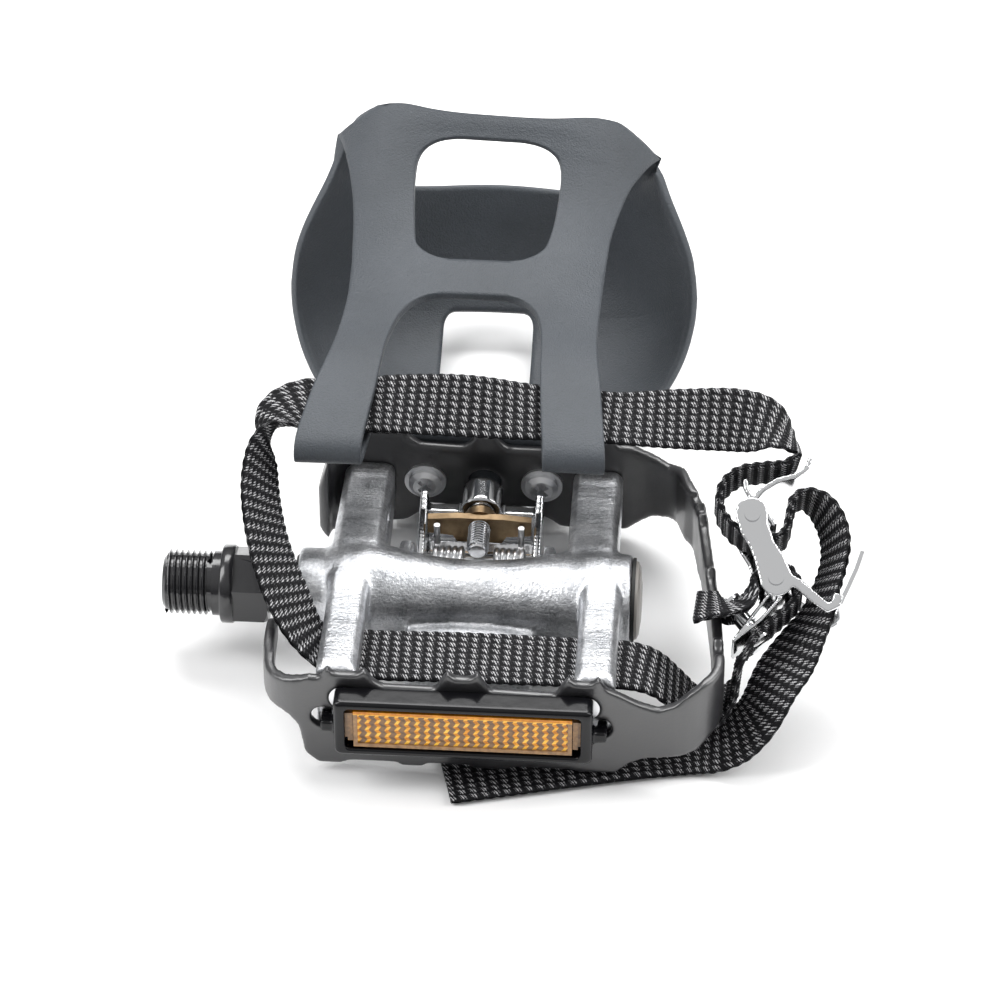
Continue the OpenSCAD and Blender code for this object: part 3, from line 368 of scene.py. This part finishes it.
# Axle: a forged steel spindle, blacked all over, that turns on loose balls. Its thread, 20 to the
# inch, is rolled, and it has a hex for a wrench and a socket for a key.
def dress(finish, *nodes):
    for name in nodes:
        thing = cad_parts[name]
        thing.data.materials.clear()
        thing.data.materials.append(finish.material)


black_steel = Finish("blacked_steel", (0.012, 0.012, 0.014), 0.2, Coat_Weight=0.4, Coat_Roughness=0.12)
rub = black_steel.noise(160, 4, 0.6)
black_steel.feed("Roughness", 0.12 + 0.22 * rub)
black_steel.relief(black_steel.noise(700, 3, 0.6), 0.00012, 0.35)
thread_top, thread_root, thread_pitch, thread_turns, thread_steps = 7.14, 6.42, 1.27, 7.6, 40
thread_start, axle_end, bore_edge, core_steps = -1.9, -12.9, 3.6, 48
key_corner, key_depth = 3.46, 5


def copy_of(node):
    """A CAD piece's mesh as one closed skin."""
    skin = bmesh.new()
    skin.from_mesh(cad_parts[node].data)
    bmesh.ops.remove_doubles(skin, verts=skin.verts, dist=1e-6)
    return skin


def cut_off(mesh, spot, away, **side):
    """Cuts a mesh in a plane and drops the side that is named."""
    bmesh.ops.bisect_plane(mesh, geom=mesh.verts[:] + mesh.edges[:] + mesh.faces[:], plane_co=spot,
                           plane_no=away, **side)


def profile_line(mesh, points):
    """A chain of edges through points of (x, radius)."""
    line = [mesh.verts.new((x * mm, 0, radius * mm)) for x, radius in points]
    return line + [mesh.edges.new(pair) for pair in zip(line, line[1:])]


spindle = copy_of("axle")
cut_off(spindle, (thread_start * mm, 0, 0), (1, 0, 0), clear_inner=True)
tooth = [(-2.0, thread_root), (-2.22, thread_root), (-2.58, thread_top), (-2.72, thread_top),
         (-3.05, thread_root), (-3.27, thread_root)]
bmesh.ops.spin(spindle, geom=profile_line(spindle, tooth), cent=(0, 0, 0), axis=(1, 0, 0),
               angle=-2 * math.pi * thread_turns, dvec=(-thread_pitch * mm / thread_steps, 0, 0),
               steps=int(thread_steps * thread_turns))
core = [(-1.5, thread_root - 0.2), (axle_end + 0.7, thread_root - 0.2), (axle_end, thread_root - 0.9),
        (axle_end, bore_edge)]
bmesh.ops.spin(spindle, geom=profile_line(spindle, core), cent=(0, 0, 0), axis=(1, 0, 0), angle=2 * math.pi,
               steps=core_steps, use_merge=True)
corners = [Vector((axle_end, key_corner * math.cos(k * math.pi / 3), key_corner * math.sin(k * math.pi / 3)))
           for k in range(6)]
mouth = spindle.faces.new([spindle.verts.new(corner * mm) for corner in corners])
bottom = bmesh.ops.extrude_face_region(spindle, geom=[mouth])["geom"]
bmesh.ops.translate(spindle, verts=[v for v in bottom if isinstance(v, bmesh.types.BMVert)],
                    vec=(key_depth * mm, 0, 0))
bmesh.ops.remove_doubles(spindle, verts=spindle.verts, dist=2e-6)
threaded = piece("threaded_axle", spindle, black_steel, smooth=False)
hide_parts("axle")
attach(threaded, "spindle")


# Body: one aluminium casting, tumbled bright, with every edge rounded and the fine scratches of use.
# Its barrel holds the bearings, and its four arms carry the cage.
def rounded(name, node, finish, grid, passes, body="pedal"):
    """A copy of a CAD piece whose edges are as soft as casting, plating or paint leaves them."""
    made = piece(name, copy_of(node), finish)
    fine = made.modifiers.new("fine", "REMESH")
    fine.mode, fine.voxel_size = "VOXEL", grid * mm
    skin = bmesh.new()
    skin.from_object(made, bpy.context.evaluated_depsgraph_get())
    made.modifiers.clear()
    for _ in range(passes):
        bmesh.ops.smooth_vert(skin, verts=skin.verts, factor=0.5, use_axis_x=True, use_axis_y=True,
                              use_axis_z=True)
    skin.to_mesh(made.data)
    skin.free()
    made.data.shade_smooth()
    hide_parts(node)
    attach(made, body)
    return made


cast = Finish("cast_aluminium", (0.80, 0.81, 0.83), 0.3, Metallic=1.0)
clouds = cast.noise(150, 6, 0.75)
long_scratch = cast.noise(420, 5, 0.75, stretch=(0.10, 1.0, 1.0))
cross_scratch = cast.noise(420, 5, 0.75, stretch=(1.0, 0.10, 1.0))
nicks = cast.noise(1500, 3, 0.7)
cast.feed("Base Color", cast.ramp(
    clouds * 0.45 + long_scratch * 0.2 + nicks * 0.35, (0.34, (0.24, 0.25, 0.27)),
    (0.5, (0.56, 0.57, 0.59)), (0.68, (0.86, 0.86, 0.87))))
cast.feed("Roughness", 0.14 + 0.42 * (clouds * 0.5 + cross_scratch * 0.5))
cast.relief(clouds * 0.4 + long_scratch * 0.35 + cross_scratch * 0.35 + nicks * 0.35, 0.0006, 0.7)
rounded("cast_body", "body", cast, 0.5, 5)

# Cage: a toothed strip of steel, bent round the body and screwed to its arms. A satin black powder
# coat rounds its edges.
satin = Finish("satin_black", (0.018, 0.018, 0.020), 0.30, Specular_IOR_Level=0.9, Coat_Weight=0.3,
               Coat_Roughness=0.25)
pebble = satin.noise(1500, 2, 0.5)
smear = satin.noise(90, 4, 0.6)
satin.feed("Roughness", 0.22 + 0.25 * smear)
satin.relief(pebble * 0.7 + smear * 0.3, 0.00008, 0.5)
rounded("powder_coated_cage", "cage", satin, 0.5, 8)

# Reflector: a gloss black housing snapped on the cage. Its amber lens has a clear border round a
# field of moulded prisms, and a stepped strip at each end.
gloss = Finish("gloss_black", (0.004, 0.004, 0.005), 0.16, Specular_IOR_Level=0.28)
gloss.relief(gloss.noise(260, 2, 0.5), 0.0001, 0.2)
rounded("housing_shell", "reflector_housing", gloss, 0.4, 3)
amber = Finish("amber_prisms", (0.75, 0.30, 0.02), 0.16, Specular_IOR_Level=0.3, Coat_Weight=0.25,
               Coat_Roughness=0.05)
lens_low, lens_high = (Vector(corner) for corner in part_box("reflector_lens"))
lens_middle = (lens_low + lens_high) / 2
field_half = Vector((22.4, 0, 4.2)) * mm
prism_wide, prism_tall, ridge_place = 2.1, 1.9, 0.42
east = (amber.along(0) - (lens_middle.x - field_half.x)) * 1000
north = (amber.along(2) - (lens_middle.z - field_half.z)) * 1000
row = north / prism_tall
column = east / prism_wide + 0.5 * (row.math("FRACT") - 0.5).math("ABSOLUTE") * 1.2
band = column.math("FRACT")
# painted light on the prisms: one side of each ridge gets a painted lit colour and the other a painted shaded
# colour
painted_lit_side = band.math("LESS_THAN", ridge_place)
# the lower half of each prism row is painted lighter, as painted shading of the facets
half_row = row.math("FRACT").math("LESS_THAN", 0.5)
# random tone over the lens, whose brightest stops in the lit colour are painted highlights
tone_and_glint_noise = amber.noise(700, 3, 0.6)
field = (amber.along(0) - lens_middle.x).math("ABSOLUTE").math("LESS_THAN", field_half.x) \
    * (amber.along(2) - lens_middle.z).math("ABSOLUTE").math("LESS_THAN", field_half.z)
painted_shaded_facets = amber.ramp(tone_and_glint_noise * 0.6 + half_row * 0.15 + 0.1, (0.3, (0.10, 0.055, 0.026)),
                 (0.6, (0.24, 0.130, 0.058)))
painted_lit_facets = amber.ramp(tone_and_glint_noise * 0.6 + half_row * 0.25 + 0.05, (0.3, (0.52, 0.17, 0.004)),
                    (0.5, (0.84, 0.33, 0.010)), (0.65, (0.98, 0.58, 0.07)))
# the border strip above the prism field takes the painted lit colour; the rest of the border has the clear
# rim's colour
edge_line = (amber.along(2) - lens_middle.z).math("GREATER_THAN", field_half.z)
clear_rim = amber.ramp(tone_and_glint_noise, (0.35, (0.20, 0.115, 0.055)), (0.65, (0.36, 0.20, 0.085)))
border = amber.mix(edge_line, clear_rim, painted_lit_facets)
amber.feed("Base Color", amber.mix(field, border, amber.mix(painted_lit_side, painted_shaded_facets, painted_lit_facets)))
lens_mesh = bmesh.new()
bmesh.ops.create_grid(lens_mesh, x_segments=150, y_segments=30, size=0.5)
for vert in lens_mesh.verts:
    x = vert.co.x * 2 * field_half.x / mm
    z = vert.co.y * 2 * field_half.z / mm
    tall = (z + field_half.z / mm) / prism_tall
    wide = (x + field_half.x / mm) / prism_wide + 0.6 * abs(tall % 1 - 0.5)
    depth = -0.25 - 0.35 * abs(wide % 1 - ridge_place) - 0.25 * abs(tall % 1 - 0.5)
    vert.co = lens_middle + Vector((x, depth, z)) * mm
    vert.co.y += lens_low.y - lens_middle.y + 0.85 * mm
rim_wide = 0.9


def pushed_out(reach, limit, spread):
    """How far from the lens's middle a point of the rim lies: the field's outline moves out by rim_wide."""
    return reach + math.copysign(rim_wide * mm, reach) if abs(abs(reach) - limit) < 1e-6 else reach * spread


def next_ring(mesh):
    """New vertices, joined to those of the mesh's open edge."""
    grown = bmesh.ops.extrude_edge_only(mesh, edges=[e for e in mesh.edges if e.is_boundary])["geom"]
    return [v for v in grown if isinstance(v, bmesh.types.BMVert)]


for vert in next_ring(lens_mesh):
    vert.co.y = lens_low.y
for vert in next_ring(lens_mesh):
    reach = vert.co - lens_middle
    vert.co.x = lens_middle.x + pushed_out(reach.x, field_half.x, 1.04)
    vert.co.z = lens_middle.z + pushed_out(reach.z, field_half.z, 1.2)
for vert in next_ring(lens_mesh):
    vert.co.y = lens_high.y
bmesh.ops.holes_fill(lens_mesh, edges=[e for e in lens_mesh.edges if e.is_boundary], sides=0)
for side in (-1, 1):
    for step in (0, 1):
        strip = bmesh.ops.create_cube(lens_mesh, size=1)["verts"]
        bmesh.ops.scale(lens_mesh, verts=strip, vec=Vector((1.1, 1.6 - 0.5 * step, 8 - step)) * mm)
        aside = Vector((side * (24.0 + 0.9 * step), 0.15 + 0.2 * step, 0)) * mm
        bmesh.ops.translate(lens_mesh, verts=strip, vec=lens_middle + aside)
bmesh.ops.recalc_face_normals(lens_mesh, faces=lens_mesh.faces)
lens_piece = piece("prism_lens", lens_mesh, amber, smooth=False)
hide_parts("reflector_lens")
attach(lens_piece, "pedal")

# Toe clip: one injection moulding in slate grey nylon with a fine spark grain. The upper band runs
# out from the cup over the toe and ends in the two loops that the strap passes through.
nylon = Finish("slate_nylon", (0.046, 0.053, 0.062), 0.5)
grain = nylon.noise(2600, 2, 0.6)
bloom = nylon.noise(45, 4, 0.6)
specks = nylon.noise(1300, 1, 0.3)
nylon.feed("Base Color", nylon.ramp(bloom * 0.5 + grain * 0.5, (0.32, (0.036, 0.042, 0.049)),
                                    (0.68, (0.056, 0.064, 0.075))))
nylon.feed("Roughness", 0.40 + 0.2 * grain)
nylon.relief(grain * 0.7 + specks * 0.3, 0.0003, 0.8)
sharp_edge, edge_crease = math.radians(50), 0.6
moulding = copy_of("toe_clip")
bmesh.ops.join_triangles(moulding, faces=moulding.faces, angle_face_threshold=math.radians(35),
                         angle_shape_threshold=math.radians(60))
crease = moulding.edges.layers.float.new("crease_edge")
for edge in moulding.edges:
    if edge.calc_face_angle(0) > sharp_edge:
        edge[crease] = edge_crease
clip = piece("nylon_toe_clip", moulding, nylon)
smoother = clip.modifiers.new("smoother", "SUBSURF")
smoother.levels = smoother.render_levels = 2
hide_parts("toe_clip")
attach(clip, "pedal")

# Chromed pieces: the buckle's frame and lever, pressed from steel, with their pins, roller, keeper
# and rivets, and the binding's sprung jaw. All are polished and then plated.
chrome = Finish("bright_chrome", (0.70, 0.705, 0.715), 0.08, Metallic=1.0)
haze = chrome.noise(220, 4, 0.6)
chrome.feed("Roughness", 0.05 + 0.14 * haze)
chrome.relief(haze, 0.0001, 0.3)
dress(chrome, "strap_rivets", "buckle_pins", "buckle_roller", "buckle_keeper")
rounded("chromed_frame", "buckle_frame", chrome, 0.3, 2)
rounded("chromed_lever", "buckle_lever", chrome, 0.3, 2, "lever")
rounded("chromed_jaw", "rear_jaw", chrome, 0.4, 3, "jaw")


# Tension screw: chromed steel, with a rolled thread on its shank and a hex socket in its head. It
# turns in the jaw's boss and draws the winged nut plate along.
def turned(mesh, profile, centre, axis, turns, rise=0.0, fineness=32):
    """Spins a profile of (distance along the axis, radius) points, climbing by rise in each turn."""
    centre, axis = Vector(centre) * mm, Vector(axis)
    line = [mesh.verts.new(centre + (axis * along + Vector((0, 0, radius))) * mm)
            for along, radius in profile]
    edges = [mesh.edges.new(pair) for pair in zip(line, line[1:])]
    before = set(mesh.faces)
    bmesh.ops.spin(mesh, geom=line + edges, cent=centre, axis=axis, angle=2 * math.pi * turns,
                   dvec=axis * rise * mm / fineness, steps=int(fineness * turns), use_merge=not rise)
    faces = [face for face in mesh.faces if face not in before]
    mesh.normal_update()
    turned_out = 0.0
    for face in faces:
        spoke = face.calc_center_median() - centre
        turned_out += face.normal.dot(spoke - axis * spoke.dot(axis)) * face.calc_area()
    if turned_out < 0:
        bmesh.ops.reverse_faces(mesh, faces=faces)


shank_tip, shank_end, shank_root, shank_top, shank_pitch, shank_turns = 12.62, 27.5, 2.08, 2.48, 0.8, 17
screw_line, screw_axis = (55.4, 0, 1), (0, 1, 0)
screw = copy_of("tension_screw")
cut_off(screw, (0, shank_end * mm, 0), screw_axis, clear_inner=True)
turned(screw, [(shank_tip, 0.0), (shank_tip, 1.8), (12.95, shank_root), (shank_end + 0.2, shank_root)],
       screw_line, screw_axis, 1)
turned(screw, [(13.0, shank_root - 0.02), (13.24, shank_top), (13.38, shank_top),
               (13.62, shank_root - 0.02)], screw_line, screw_axis, shank_turns, shank_pitch)
threaded_screw = piece("threaded_tension_screw", screw, chrome, smooth=False)
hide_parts("tension_screw")
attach(threaded_screw, "adjuster")

# Zinc-plated and ground steel: the screws and nuts of the clip, cage and claw, the claw, the rest
# plate and the jaw's pin, and the cups, balls, cone, washer and lock nut of the bearings.
plated = Finish("zinc_plate", (0.72, 0.725, 0.735), 0.3, Metallic=1.0)
dull = plated.noise(300, 4, 0.6)
plated.feed("Roughness", 0.22 + 0.22 * dull)
plated.relief(dull, 0.0001, 0.4)
dress(plated, "clip_screws", "clip_nuts", "cage_screws", "fixed_claw", "claw_screws", "rest_plate", "jaw_pin",
      "inner_cup", "inner_balls", "outer_cup", "outer_balls", "outer_cone", "axle_washer", "lock_nut")

# Jaw springs: two coils of plated wire on the pin, cut into two pieces, the coils and the legs. Their short
# legs press on the body, and the long ones bear on the jaw's nut plate, so in the binding they bend with the
# jaw. Here both stay fixed.
coil_foot, coil_top, leg_top = -4.4, -2.4, 0.2
for name, side, inner, outer, low, high in (("jaw_spring_coils", 1, "pedal", "jaw", coil_foot, coil_top),
                                            ("jaw_spring_legs", -1, "jaw", "nut_plate", coil_top, leg_top)):
    wire = copy_of("jaw_springs")
    cut_off(wire, (0, 0, coil_top * mm), (0, 0, side), clear_outer=True)
    bmesh.ops.holes_fill(wire, edges=[e for e in wire.edges if e.is_boundary], sides=0)
    spring = piece(name, wire, plated, smooth=False)
    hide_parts("jaw_springs")
    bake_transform(spring)

# Winged nut plate: stamped steel with a yellow-bronze passivate, threaded on the tension screw. The
# springs' long legs bear on its wings.
bronze = Finish("bronze_passivate", (0.42, 0.31, 0.20), 0.32, Metallic=1.0)
stain = bronze.noise(240, 4, 0.6)
bronze.feed("Base Color", bronze.ramp(stain, (0.3, (0.17, 0.115, 0.065)), (0.7, (0.36, 0.26, 0.155))))
bronze.relief(stain, 0.0001, 0.4)
dress(bronze, "tension_nut")

# Dust cap and seals: a domed cap of warm grey moulded plastic, pressed in over a black ring. On the
# crank side a ring of black rubber seals the body.
putty = Finish("cap_plastic", (0.30, 0.28, 0.26), 0.42)
putty.relief(putty.noise(900, 3, 0.5), 0.0001, 0.4)
dress(putty, "dust_cap")
rubber = Finish("seal_rubber", (0.012, 0.012, 0.012), 0.6)
rubber.relief(rubber.noise(1200, 3, 0.5), 0.0001, 0.5)
dress(rubber, "cap_ring", "inner_seal")
